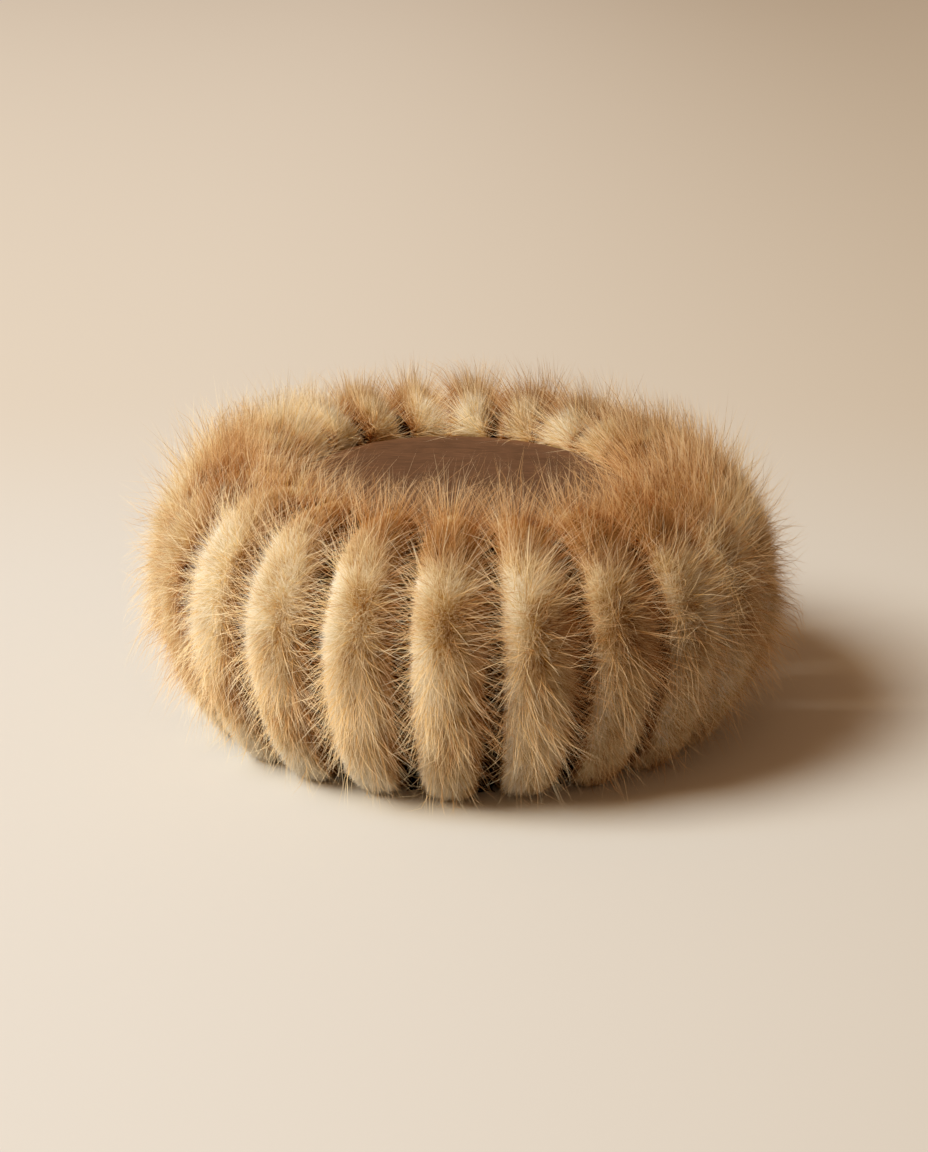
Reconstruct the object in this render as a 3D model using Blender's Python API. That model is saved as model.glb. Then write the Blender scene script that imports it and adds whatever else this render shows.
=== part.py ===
"""A round fur hat: 22 upright rolls of fur stand side by side round a tapered side band,
and a suede tip closes the top inside their crests.

Metres, +Z up. The origin lies on the floor under the middle of the hat, and the front is at -Y.
"""

import math

import bmesh
import bpy
from mathutils import Vector

# Head opening and side band
HEAD_ROUND = 0.575  # length round the head where the band sits
HEAD_RADIUS = HEAD_ROUND / (2 * math.pi)
CLOTH = 0.002  # wall of the band and of the tip
GAP = 0.0003  # air between pieces that touch
BAND_FOOT_HEIGHT = 0.003
BAND_TOP_HEIGHT = 0.1035

# Suede tip
TIP_RADIUS = 0.0712  # outside of its turned-down edge
TIP_CROWN = 0.0022  # how much the middle stands above the edge
TIP_EDGE_ROUND = 0.0034  # radius of the soft edge
TIP_SKIRT = 0.0060  # how far the edge reaches down outside the band
BAND_TOP_RADIUS = TIP_RADIUS - CLOTH - 4 * GAP

# Fur rolls, to the thick of the pile
ROLL_COUNT = 22
FIRST_ROLL_TURN = math.radians(-3.0)  # from the front, positive towards +X
FUR_RADIUS = 0.1385
FUR_WIDEST_HEIGHT = 0.066
CREST_RADIUS = 0.0905
CREST_HEIGHT = 0.1185
FOOT_RADIUS = 0.1050
FOOT_PRESS = 0.0045  # pile that the floor presses flat
HEEL_RADIUS = 0.0965
HEEL_HEIGHT = 0.0020
INNER_END_RADIUS = 0.0734
INNER_END_HEIGHT = 0.1045
SEWN_END_HEIGHT = 0.0970  # where a roll's top end is sewn to the band
GROOVE_DEPTH = 0.0175  # from a roll's crest down to where it meets the next one
LEAST_SIDE = 0.30  # share of a roll's depth that always touches its neighbour
FULLNESS_SWING = 0.010  # rolls are this share fuller or slimmer than the rest
SLUMP = 0.0042  # the crests are this much lower at the right, and higher at the left

# Superellipse powers of the outline: 2 is round, less is straighter
HEEL_POWER = 2.0
LOWER_POWER = 1.75
UPPER_POWER = 2.05
INNER_POWER = 2.1
CAP_POWER = 2.2

# Locks: the fur parts at mid height, and lies in rows of pointed locks that run up and down from there
PARTING = 0.43  # share of a roll's length below the parting
PARTING_SWING = 0.025  # rolls part this share higher or lower than the rest
LOCKS_BELOW = 3
LOCKS_ABOVE = 5
LOCK_RELIEF = 0.0034  # from the root of one lock up to the tip of the one before
LOCK_POINT = 0.026  # share of a roll's length that a lock's tip runs ahead of its sides
LOCK_FORM = ((0.0, -0.5), (0.45, 0.2), (0.90, 0.5))  # (share of the lock, share of the relief)

# Facets
LATHE_STEPS = 44
CAP_STEPS = 6
CREST_STEPS = 24  # for each of the four stretches, before the locks share them out


def clear_scene():
    for obj in list(bpy.data.objects):
        bpy.data.objects.remove(obj, do_unlink=True)


def make_material(name, colour, roughness):
    material = bpy.data.materials.new(name)
    material.use_nodes = True
    shader = material.node_tree.nodes["Principled BSDF"]
    shader.inputs["Base Color"].default_value = (*colour, 1.0)
    shader.inputs["Roughness"].default_value = roughness
    shader.inputs["Metallic"].default_value = 0.0
    return material


def slumped(point):
    """The point after the hat's lean to the right. What lies on the floor stays on it."""
    lean = SLUMP * (point.z / CREST_HEIGHT) * (point.x / FUR_RADIUS)
    return Vector((point.x, point.y, point.z - lean))


def add_object(name, points, faces, material, parent):
    mesh = bpy.data.meshes.new(name)
    mesh.from_pydata([slumped(point) for point in points], [], faces)
    mesh.update()
    solid = bmesh.new()
    solid.from_mesh(mesh)
    bmesh.ops.recalc_face_normals(solid, faces=solid.faces)
    solid.to_mesh(mesh)
    solid.free()
    mesh.materials.append(material)
    mesh.shade_smooth()
    mesh.set_sharp_from_angle(angle=math.radians(50))
    obj = bpy.data.objects.new(name, mesh)
    bpy.context.scene.collection.objects.link(obj)
    obj.parent = parent
    return obj


def join_rings(low, high):
    """Faces between two closed rings of point numbers. A ring that is one repeated point makes a fan."""
    faces = []
    for step in range(len(low)):
        following = (step + 1) % len(low)
        corners = [low[step], low[following], high[following], high[step]]
        faces.append(list(dict.fromkeys(corners)))
    return faces


def lathe(name, profile, material, parent):
    """A closed profile of (radius, height) turned round the Z axis. At radius 0 a ring is one point."""
    points, rings = [], []
    for radius, height in profile:
        if radius == 0:
            rings.append([len(points)] * LATHE_STEPS)
            points.append(Vector((0, 0, height)))
            continue
        rings.append(list(range(len(points), len(points) + LATHE_STEPS)))
        for step in range(LATHE_STEPS):
            turn = 2 * math.pi * step / LATHE_STEPS
            points.append(Vector((radius * math.cos(turn), radius * math.sin(turn), height)))
    pairs = list(zip(rings, rings[1:]))
    if profile[0][0] > 0:
        pairs.append((rings[-1], rings[0]))
    faces = [face for low, high in pairs for face in join_rings(low, high)]
    return add_object(name, points, faces, material, parent)


def band_radius(height):
    """Outer radius of the side band, which tapers straight from the head opening to the tip."""
    share = (height - BAND_FOOT_HEIGHT) / (BAND_TOP_HEIGHT - BAND_FOOT_HEIGHT)
    return HEAD_RADIUS + CLOTH + share * (BAND_TOP_RADIUS - HEAD_RADIUS - CLOTH)


def make_side_band(material, parent):
    heights = (BAND_FOOT_HEIGHT, BAND_TOP_HEIGHT / 2, BAND_TOP_HEIGHT)
    outer = [(band_radius(height), height) for height in heights]
    inner = [(radius - CLOTH, height) for radius, height in reversed(outer)]
    return lathe("side_band", outer + inner, material, parent)


def make_tip(material, parent):
    """The suede disc: crowned in the middle, with a soft edge turned down outside the band."""
    flat_height = BAND_TOP_HEIGHT + GAP + CLOTH
    flat_radius = TIP_RADIUS - TIP_EDGE_ROUND
    top, under = [], []
    for share in (0.0, 0.35, 0.7, 1.0):
        rise = TIP_CROWN * (1 - share**2)
        top.append((flat_radius * share, flat_height + rise))
        under.append((flat_radius * share, flat_height - CLOTH + rise))
    edge = []
    for degrees in (60, 30, 0):
        turn = math.radians(degrees)
        radius = flat_radius + TIP_EDGE_ROUND * math.cos(turn)
        edge.append((radius, flat_height - TIP_EDGE_ROUND * (1 - math.sin(turn))))
    foot_height = flat_height - TIP_SKIRT
    foot_radius = band_radius(foot_height) + GAP
    skirt = [
        (foot_radius + CLOTH, foot_height),
        (foot_radius, foot_height),
        (band_radius(BAND_TOP_HEIGHT) + GAP, BAND_TOP_HEIGHT + GAP),
    ]
    profile = top + edge + skirt + list(reversed(under))
    return lathe("crown_tip", profile, material, parent)


def quarter(start, end, power, outward_first):
    """Points along a quarter of a superellipse from start to end, both (radius, height).

    It leaves start along the radius if outward_first, and otherwise along the height.
    """
    points = []
    for step in range(CREST_STEPS):
        turn = step / CREST_STEPS * math.pi / 2
        early = math.sin(turn) ** (2 / power)
        late = 1 - math.cos(turn) ** (2 / power)
        share = (early, late) if outward_first else (late, early)
        points.append(tuple(a + s * (b - a) for a, b, s in zip(start, end, share)))
    return points


def crest_line():
    """(radius, height) along a roll's crest: heel, foot, widest place, top crest, end at the tip."""
    heel = (HEEL_RADIUS, HEEL_HEIGHT)
    foot = (FOOT_RADIUS, -FOOT_PRESS)
    widest = (FUR_RADIUS, FUR_WIDEST_HEIGHT)
    crest = (CREST_RADIUS, CREST_HEIGHT)
    inner_end = (INNER_END_RADIUS, INNER_END_HEIGHT)
    line = quarter(heel, foot, HEEL_POWER, False)
    line += quarter(foot, widest, LOWER_POWER, True)
    line += quarter(widest, crest, UPPER_POWER, False)
    line += quarter(crest, inner_end, INNER_POWER, True)
    return line + [inner_end]


def point_along(line, share):
    """The point that lies a share of the way along a line of (radius, height) points."""
    lengths = [math.dist(a, b) for a, b in zip(line, line[1:])]
    left = min(max(share, 0.0), 1.0) * sum(lengths)
    for a, b, length in zip(line, line[1:], lengths):
        if left <= length:
            return tuple(u + (v - u) * left / length for u, v in zip(a, b))
        left -= length
    return line[-1]


def lock_stations(parting):
    """(share of the roll's length, relief) of each section: locks run down and up from the parting."""
    stations = [(parting, -0.5)]
    for row in range(LOCKS_ABOVE):
        for place, relief in LOCK_FORM:
            stations.append((parting + (row + place) / LOCKS_ABOVE * (1 - parting), relief))
    for row in range(LOCKS_BELOW):
        for place, relief in LOCK_FORM:
            stations.append((parting - (row + place) / LOCKS_BELOW * parting, relief))
    stations += [(0.0, 0.0), (1.0, 0.0)]
    return sorted(set(stations))


def lock_shift(share, parting, across):
    """How far a section's middle runs ahead of its sides, away from the parting, as a share."""
    away = min(max((share - parting) / 0.08, -1.0), 1.0)
    fade = min(1.0, share / 0.06, (1 - share) / 0.06)
    return LOCK_POINT * away * fade * (0.5 - across**2)


def roll_section(line, share, relief, parting, fullness):
    """One closed section of a roll, as (radius, height, share of half the slice's width)."""
    height = BAND_FOOT_HEIGHT + share * (SEWN_END_HEIGHT - BAND_FOOT_HEIGHT)
    sewn = (band_radius(height) + GAP + share * CLOTH, height)
    section = [(*sewn, -1.0)]
    for step in range(CAP_STEPS + 1):
        turn = math.pi * (step / CAP_STEPS - 0.5)
        across = math.sin(turn)
        crest = point_along(line, share + lock_shift(share, parting, across))
        depth = math.dist(crest, sewn)
        side = max(LEAST_SIDE, 1 - GROOVE_DEPTH / depth)
        rise = side + (1 - side) * math.cos(turn) ** (2 / CAP_POWER)
        reach = rise * fullness + relief * LOCK_RELIEF * (1 - 0.5 * across**2) / max(depth, GROOVE_DEPTH)
        radius, level = (base + reach * (far - base) for base, far in zip(sewn, crest))
        section.append((radius, max(level, 0.0), across))
    section.append((*sewn, 1.0))
    return section


def make_roll(index, line, material, parent):
    """One roll of fur: sections lofted along its crest line, all within its own slice of the ring."""
    turn = FIRST_ROLL_TURN + 2 * math.pi * index / ROLL_COUNT
    outward = Vector((math.sin(turn), -math.cos(turn), 0))
    sideways = Vector((math.cos(turn), math.sin(turn), 0))
    slope = math.tan(math.pi / ROLL_COUNT)
    wave = 2.4 * (index % (ROLL_COUNT // 2))
    parting = PARTING + PARTING_SWING * math.sin(wave)
    fullness = 1 + FULLNESS_SWING * math.cos(1.7 * wave)
    points, rings = [], []
    for share, relief in lock_stations(parting):
        section = roll_section(line, share, relief, parting, fullness)
        rings.append(list(range(len(points), len(points) + len(section))))
        for radius, height, across in section:
            half_width = radius * slope - GAP / 2
            points.append(outward * radius + sideways * across * half_width + Vector((0, 0, height)))
    faces = [face for low, high in zip(rings, rings[1:]) for face in join_rings(low, high)]
    faces += [rings[0], rings[-1]]
    return add_object(f"fur_roll_{index + 1:02d}", points, faces, material, parent)


def main():
    clear_scene()
    hat = bpy.data.objects.new("hat", None)
    bpy.context.scene.collection.objects.link(hat)
    suede = make_material("brown_suede", (0.145, 0.082, 0.052), 0.92)
    cloth = make_material("brown_cloth", (0.085, 0.052, 0.036), 0.90)
    fur = make_material("golden_fur", (0.560, 0.350, 0.165), 0.80)
    make_side_band(cloth, hat)
    make_tip(suede, hat)
    line = crest_line()
    for index in range(ROLL_COUNT):
        make_roll(index, line, fur, hat)


main()
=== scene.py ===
"""Looks for the fur pillbox hat: deep fur on every roll, a suede tip, a woven side band, and a studio."""

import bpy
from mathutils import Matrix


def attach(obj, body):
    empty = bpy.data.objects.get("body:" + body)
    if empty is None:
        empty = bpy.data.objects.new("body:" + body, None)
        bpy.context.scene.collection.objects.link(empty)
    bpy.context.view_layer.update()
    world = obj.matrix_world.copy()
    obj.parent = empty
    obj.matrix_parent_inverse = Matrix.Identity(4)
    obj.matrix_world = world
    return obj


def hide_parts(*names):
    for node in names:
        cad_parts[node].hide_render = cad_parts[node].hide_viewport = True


bl_info = {
    "name": "Fur pillbox hat",
    "version": (1, 0, 0),
    "blender": (4, 5, 0),
    "location": "3D View > Sidebar > Fur Hat",
    "description": "Grows the fur of a pillbox hat and dresses its suede tip, side band and studio",
    "category": "Object",
}

import math
from dataclasses import dataclass

import bmesh
import bpy
import numpy as np
from mathutils import Vector

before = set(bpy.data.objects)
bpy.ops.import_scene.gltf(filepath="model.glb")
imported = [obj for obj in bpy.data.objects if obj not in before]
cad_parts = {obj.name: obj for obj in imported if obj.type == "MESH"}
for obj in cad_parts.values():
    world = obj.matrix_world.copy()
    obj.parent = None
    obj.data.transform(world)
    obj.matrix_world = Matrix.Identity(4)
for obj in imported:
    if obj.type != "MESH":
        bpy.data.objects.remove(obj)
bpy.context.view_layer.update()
ROLL_NODES = sorted(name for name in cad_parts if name.startswith("fur_roll_"))

# Sizes of the solids, in metres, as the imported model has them
CLOTH = 0.002
GAP = 0.0003
HEAD_RADIUS = 0.575 / (2 * math.pi)
BAND_FOOT_RADIUS = HEAD_RADIUS + CLOTH
BAND_FOOT_HEIGHT = 0.003
BAND_TOP_HEIGHT = 0.1035
TIP_RADIUS = 0.0712
TIP_CROWN = 0.0022
TIP_EDGE_ROUND = 0.0034
TIP_SKIRT = 0.0060
TIP_FLAT_RADIUS = TIP_RADIUS - TIP_EDGE_ROUND
TIP_FLAT_HEIGHT = BAND_TOP_HEIGHT + GAP + CLOTH
BAND_TOP_RADIUS = TIP_RADIUS - CLOTH - 4 * GAP
ROLL_COUNT = len(ROLL_NODES)
FIRST_ROLL_TURN = math.radians(-3.0)
FUR_RADIUS = 0.1385
CREST_HEIGHT = 0.1185
HEEL = (0.0965, 0.0020)
FOOT = (0.1050, -0.0045)
WIDEST = (FUR_RADIUS, 0.066)
CREST = (0.0905, CREST_HEIGHT)
INNER_END = (0.0734, 0.1045)
SEWN_END_HEIGHT = 0.0970
GROOVE_DEPTH = 0.0175
LEAST_SIDE = 0.30
SLUMP = 0.0042
CAP_POWER = 2.2
PARTING = 0.565  # share of a roll's length below the whorl that its hair grows out from
PARTING_SWING = 0.028

# The visual model stays inside this box, and nothing is under the floor
REACH = 0.1545
TOP_REACH = 0.1358
FLOOR_CLEARANCE = 0.0004
HAIR_CLEARANCE = 0.0006  # between hair and the cloth or suede that it lies on

# Columns of the fur's tone strip, from left to right
UNDERFUR_TONES = (0.02, 0.58)
SHADED_SKIN_TONE = 0.62
GUARD_TONES = (0.66, 0.98)
TONE_EDGE = 0.002
STRAND_TONE_WIDTH = 1 / 128
UNDERWOOL_RISE = 0.40  # the underwool takes the painted shade of a hair this far up from its root
TIP_RISE = 0.98

# Fur on a roll
BACK_PER_TURN = 0.0165  # metres across a roll's back for each radian of turn
ROOT_DEPTH = 0.0005  # how deep a hair's root sits in the underwool
LUMP_DEPTH = 0.0011  # of the lumps in the underwool
EDGE_STRIP = 0.006  # hair this far inside the wall is pushed out, and hair farther in is lifted
LIFT_DEPTH = 0.015  # hair this far below the band's top can still be lifted over the suede
FIRST_SEED = 1000  # of the random numbers of the first roll's hair

# Finish of the cloth
HEM_HEIGHT = 0.0155
HEM_FOOT = 0.0042
HEM_STEP = 0.60  # share of the wall's thickness that is left above the hem
HEM_STITCHES = 172
HEM_STITCH_HEIGHT = 0.0132
HEM_STITCH_LENGTH = 0.68  # share of the distance between two stitches
HEM_THREAD = 0.00055
STITCH_SIDES = 6
BAND_SIDES = 4 * HEM_STITCHES
TIP_SIDES = 8 * ROLL_COUNT
BAND_RIDGE_RADIUS = 0.0640  # where the band's edge presses up under the suede
HIGHLIT_RIM_START = 0.054  # painted highlight: the suede is painted paler from this radius to the next, along its rounded edge
HIGHLIT_RIM_END = 0.067

# Studio
KEY_DISTANCE = 8.0
KEY_SIDE = math.radians(15.4)  # in front of straight left
KEY_HEIGHT = math.radians(46.5)
KEY_AIM_HEIGHT = 0.06
CAMERA_PLACE = (0, -1.08, 0.438)
CAMERA_TILT = math.radians(70.71)
CAMERA_LENS = 79.25  # millimetres, as is the sensor
CAMERA_SENSOR = 36
FLOOR_RADIUS = 9.0
FLOOR_SIDES = 64

UPWARD = np.array((0.0, 0.0, 1.0))
LENGTH = {"subtype": "DISTANCE", "unit": "LENGTH"}
COLOUR = {"subtype": "COLOR", "size": 3, "min": 0, "max": 1}


class FurSettings(bpy.types.PropertyGroup):
    pile_depth: bpy.props.FloatProperty(
        name="Pile depth", description="From the felted underwool of a roll to the thick of its fur",
        default=0.0030, min=0.001, max=0.015, **LENGTH)
    plush_count: bpy.props.IntProperty(
        name="Plush hairs", description="Short soft hairs on each roll", default=16000, min=100, max=30000)
    plush_length: bpy.props.FloatProperty(
        name="Plush length", description="Usual length of a short soft hair",
        default=0.0054, min=0.001, max=0.03, **LENGTH)
    plush_width: bpy.props.FloatProperty(
        name="Plush width", description="Width of a short soft hair at its root",
        default=0.00042, min=0.00005, max=0.002, **LENGTH)
    awn_count: bpy.props.IntProperty(
        name="Awn hairs", description="Middling hairs on each roll", default=14400, min=0, max=20000)
    awn_length: bpy.props.FloatProperty(
        name="Awn length", description="Usual length of a middling hair",
        default=0.0092, min=0.002, max=0.03, **LENGTH)
    awn_width: bpy.props.FloatProperty(
        name="Awn width", description="Width of a middling hair at its root",
        default=0.00020, min=0.00005, max=0.002, **LENGTH)
    guard_count: bpy.props.IntProperty(
        name="Guard hairs", description="Long stiff hairs on each roll", default=1450, min=0, max=6000)
    guard_length: bpy.props.FloatProperty(
        name="Guard length", description="Usual length of a guard hair",
        default=0.0245, min=0.002, max=0.05, **LENGTH)
    guard_width: bpy.props.FloatProperty(
        name="Guard width", description="Width of a guard hair at its root",
        default=0.00019, min=0.00003, max=0.002, **LENGTH)
    sweep_count: bpy.props.IntProperty(
        name="Sweeping hairs", description="Long hairs on each roll that lie across the grooves",
        default=380, min=0, max=6000)
    sweep_length: bpy.props.FloatProperty(
        name="Sweep length", description="Usual length of a hair that lies across a groove",
        default=0.0205, min=0.002, max=0.05, **LENGTH)
    lock_size: bpy.props.FloatProperty(
        name="Lock size", description="Distance between the locks that hairs gather into",
        default=0.0046, min=0.001, max=0.02, **LENGTH)
    cream: bpy.props.FloatVectorProperty(
        name="Cream", description="Palest underfur", default=(0.76, 0.725, 0.65), **COLOUR)
    sand: bpy.props.FloatVectorProperty(
        name="Sand", description="Usual underfur", default=(0.65, 0.535, 0.34), **COLOUR)
    amber: bpy.props.FloatVectorProperty(
        name="Amber", description="Warm underfur", default=(0.50, 0.30, 0.125), **COLOUR)
    russet: bpy.props.FloatVectorProperty(
        name="Russet", description="Warmest underfur, on the crests", default=(0.31, 0.14, 0.038), **COLOUR)
    # painted shade: the skin is near black, so that it reads as shade between the hairs and in the grooves
    skin: bpy.props.FloatVectorProperty(
        name="Skin", description="The rolls under their fur", default=(0.016, 0.0045, 0.001), **COLOUR)
    pale_guard: bpy.props.FloatVectorProperty(
        name="Pale guard hair", description="Palest guard hairs", default=(0.84, 0.74, 0.54), **COLOUR)
    copper_guard: bpy.props.FloatVectorProperty(
        name="Copper guard hair", description="Warmest guard hairs", default=(0.58, 0.35, 0.145), **COLOUR)


class SuedeSettings(bpy.types.PropertyGroup):
    colour: bpy.props.FloatVectorProperty(
        name="Suede", description="Colour of the brushed nap", default=(0.116, 0.056, 0.028), **COLOUR)
    shade: bpy.props.FloatVectorProperty(
        name="Suede shade", description="Colour where the nap lies the other way",
        default=(0.084, 0.040, 0.019), **COLOUR)
    nap: bpy.props.FloatProperty(
        name="Nap size", description="Size of the nap's fine grain",
        default=0.0005, min=0.0001, max=0.005, **LENGTH)


class BandSettings(bpy.types.PropertyGroup):
    colour: bpy.props.FloatVectorProperty(
        name="Band cloth", description="Colour of the woven side band",
        default=(0.085, 0.045, 0.024), **COLOUR)
    thread: bpy.props.FloatProperty(
        name="Thread pitch", description="Distance between the threads of the weave",
        default=0.0009, min=0.0002, max=0.005, **LENGTH)


class StudioSettings(bpy.types.PropertyGroup):
    floor: bpy.props.FloatVectorProperty(
        name="Floor", description="Colour of the floor", default=(0.62, 0.61, 0.585), **COLOUR)
    backdrop: bpy.props.FloatVectorProperty(
        name="Backdrop", description="Colour of the floor far behind the hat",
        default=(0.60, 0.56, 0.50), **COLOUR)
    fill: bpy.props.FloatVectorProperty(
        name="Fill light", description="Colour and strength of the light from all round",
        default=(0.335, 0.19, 0.10), **COLOUR)
    key_power: bpy.props.FloatProperty(
        name="Key light", description="Power of the soft light from the left",
        default=915.0, min=0, max=5000, unit="POWER")
    key_size: bpy.props.FloatProperty(
        name="Key size", description="Width of the soft light", default=3.8, min=0.1, max=10, **LENGTH)


# Numbers

def unit(vectors):
    """The vectors with length 1."""
    return vectors / np.maximum(np.linalg.norm(vectors, axis=-1, keepdims=True), 1e-12)


def smooth_step(values, start, end):
    """0 at start and 1 at end, with a soft rise between. The start may be above the end."""
    share = np.clip((values - start) / (end - start), 0, 1)
    return share * share * (3 - 2 * share)


def scatter(cells, seed):
    """A fixed random number from 0 to 1 for each cell of whole numbers."""
    factors = np.array([73856093, 19349663, 83492791], np.uint64)[:cells.shape[-1]]
    mixed = (cells.astype(np.int64).astype(np.uint64) * factors).sum(-1)
    mixed += np.uint64(seed * 2654435761 % 2**32)
    for shift, factor in ((15, 2246822519), (13, 3266489917), (16, 668265263)):
        mixed = (mixed ^ (mixed >> np.uint64(shift))) * np.uint64(factor)
        mixed &= np.uint64(0xFFFFFFFF)
    return mixed / 2.0**32


def cloud(points, cell, seed):
    """Soft noise from 0 to 1, with patches about a cell across."""
    place = points / cell
    base = np.floor(place)
    share = place - base
    share = share * share * (3 - 2 * share)
    total = np.zeros(points.shape[0])
    for corner in np.ndindex(*(2,) * points.shape[1]):
        weight = np.prod(np.where(np.array(corner) == 1, share, 1 - share), axis=-1)
        total += weight * scatter(base + np.array(corner), seed)
    return total


# The form of the hat

def quarter(start, end, power, outward_first):
    """Points along a quarter of a superellipse from start to end, both (radius, height)."""
    turn = np.linspace(0, math.pi / 2, 25)[:-1, None]
    early = np.sin(turn) ** (2 / power)
    late = 1 - np.cos(turn) ** (2 / power)
    share = np.hstack((early, late) if outward_first else (late, early))
    return np.array(start) + share * (np.array(end) - np.array(start))


def crest_line():
    """(radius, height) along a roll's crest, and how far along it each point is."""
    line = np.vstack((
        quarter(HEEL, FOOT, 2.0, False),
        quarter(FOOT, WIDEST, 1.75, True),
        quarter(WIDEST, CREST, 2.05, False),
        quarter(CREST, INNER_END, 2.1, True),
        [INNER_END],
    ))
    along = np.concatenate(([0], np.cumsum(np.linalg.norm(np.diff(line, axis=0), axis=1))))
    return line, along


CREST_LINE, CREST_ALONG = crest_line()
CREST_LENGTH = CREST_ALONG[-1]


def band_radius(height):
    """Outer radius of the side band at a height."""
    share = (height - BAND_FOOT_HEIGHT) / (BAND_TOP_HEIGHT - BAND_FOOT_HEIGHT)
    return BAND_FOOT_RADIUS + share * (BAND_TOP_RADIUS - BAND_FOOT_RADIUS)


def tip_height(radius):
    """Height of the suede's top at a radius."""
    return TIP_FLAT_HEIGHT + TIP_CROWN * np.clip(1 - (radius / TIP_FLAT_RADIUS) ** 2, 0, 1)


def slump(points):
    """The points after the hat's lean to the right."""
    points[..., 2] -= SLUMP * (points[..., 2] / CREST_HEIGHT) * (points[..., 0] / FUR_RADIUS)
    return points


class Roll:
    """The outer surface of one roll's pile, by share of its length and turn across its back."""

    def __init__(self, index):
        wave = 2.4 * (index % (ROLL_COUNT // 2))
        self.index = index
        self.turn = FIRST_ROLL_TURN + 2 * math.pi * index / ROLL_COUNT
        self.parting = PARTING + PARTING_SWING * math.sin(1.3 * wave + 0.8)
        self.fullness = 1 + 0.010 * math.cos(1.7 * wave)
        self.outward = np.array((math.sin(self.turn), -math.cos(self.turn), 0.0))
        self.sideways = np.array((math.cos(self.turn), math.sin(self.turn), 0.0))

    def chance(self, kind, seed):
        """A fixed random number from -0.5 to 0.5 of this roll."""
        return scatter(np.array([[self.index, kind]]), seed)[0] - 0.5

    def surface(self, share, turn):
        along = np.clip(share, 0, 1) * CREST_LENGTH
        crest = np.stack([np.interp(along, CREST_ALONG, CREST_LINE[:, axis]) for axis in (0, 1)], -1)
        height = BAND_FOOT_HEIGHT + share * (SEWN_END_HEIGHT - BAND_FOOT_HEIGHT)
        sewn = np.stack((band_radius(height) + GAP + share * CLOTH, height), -1)
        depth = np.linalg.norm(crest - sewn, axis=-1)
        side = np.maximum(LEAST_SIDE, 1 - GROOVE_DEPTH / depth)
        rise = side + (1 - side) * np.clip(np.cos(turn), 0, 1) ** (2 / CAP_POWER)
        place = sewn + (rise * self.fullness)[..., None] * (crest - sewn)
        half_width = place[..., 0] * math.tan(math.pi / ROLL_COUNT) - GAP / 2
        points = place[..., :1] * self.outward + (np.sin(turn) * half_width)[..., None] * self.sideways
        points[..., 2] += np.maximum(place[..., 1], 0)
        return points

    def frame_at(self, share, turn):
        """(point, normal, direction up the roll, direction across it) of each place."""
        step, swing = 0.004, 0.03
        point = self.surface(share, turn)
        up = self.surface(share + step, turn) - self.surface(share - step, turn)
        over = self.surface(share, turn + swing) - self.surface(share, turn - swing)
        normal = unit(np.cross(over, up))
        up = unit(up)
        return point, normal, up, np.cross(up, normal)


def clear_of_hat(points):
    """The points, moved out of the band and the suede, above the floor and inside the hat's reach."""
    radius = np.maximum(np.linalg.norm(points[..., :2], axis=-1), 1e-6)
    height = points[..., 2]
    wall = np.where(height < BAND_TOP_HEIGHT - TIP_SKIRT, band_radius(height), TIP_RADIUS) + HAIR_CLEARANCE
    roof = tip_height(radius) + HAIR_CLEARANCE
    under_roof = height < roof
    far_in = radius <= wall - EDGE_STRIP
    lifted = under_roof & far_in & (height > BAND_TOP_HEIGHT - LIFT_DEPTH)
    pushed = under_roof & (radius < wall) & ~lifted
    new_radius = np.minimum(np.where(pushed, wall, radius), REACH)
    points[..., :2] *= (new_radius / radius)[..., None]
    points[..., 2] = np.clip(np.where(lifted, roof, height), FLOOR_CLEARANCE, TOP_REACH)
    return points


# Fur

@dataclass(frozen=True, kw_only=True)
class Habit:
    """How one kind of hair grows. Shares are of the hair's own length, and angles are in radians."""

    name: str
    width: str  # the setting that holds its width
    tones: tuple  # the columns of the tone strip that it takes its colour from
    joints: int  # points along each hair
    widest_turn: float  # how far across a roll's back it grows
    mid_crowd: float  # above 1, more of it grows along the middle of the back
    crowd: float = 0.0  # more of it towards the crests, most on the rolls behind
    front_crowd: float = 0.0  # more of it at the crests all round
    bare_foot: float = 0.0  # how much of it is missing at a roll's foot
    fan: float  # how strongly it turns from the middle of the back to the grooves
    nap: float  # how strongly it is combed across the roll to the right
    lock_swing: float = 1.0  # how far locks turn aside as one
    swing: float  # how far each hair turns aside by itself
    lift: float  # angle between hair and skin
    lift_crest: float  # what is added to it on the crest
    lift_lock: float  # how far it differs between locks
    lift_spread: float  # and between hairs
    flank_lay: float = 0.0  # how much flatter it lies towards the grooves
    bend: float = 0.0  # how much flatter its tip lies than its root
    curl: float = 0.0  # how far its tip turns aside
    droop: float = 0.0  # how far its tip hangs down
    upright: float = 0.9  # how strongly it stands up on the crests behind
    front_stand: float = 0.35  # share of that on the crests in front
    uneven: float  # how far its length differs between hairs
    patchy: float  # and between patches
    flank_cut: float  # how much shorter it is towards the grooves
    low_cut: float  # on the lower half
    left_cut: float  # and on a roll's left side
    crest_front: float  # how much longer it is on the crests in front
    crest_back: float  # on the crests behind
    side_on: float  # and at the hat's left and right ends
    gather: float  # how far its tips gather into locks
    twist: float  # how far its flat side turns
    soften: float  # share of the roll's own roundness in its shading
    wrap: float  # how far its shading faces upwards
    taper: float  # how late it tapers
    tone_spread: float  # how far its tone differs between hairs
    root_rise: float = 0.02  # how far up the tone strip its root is


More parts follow.
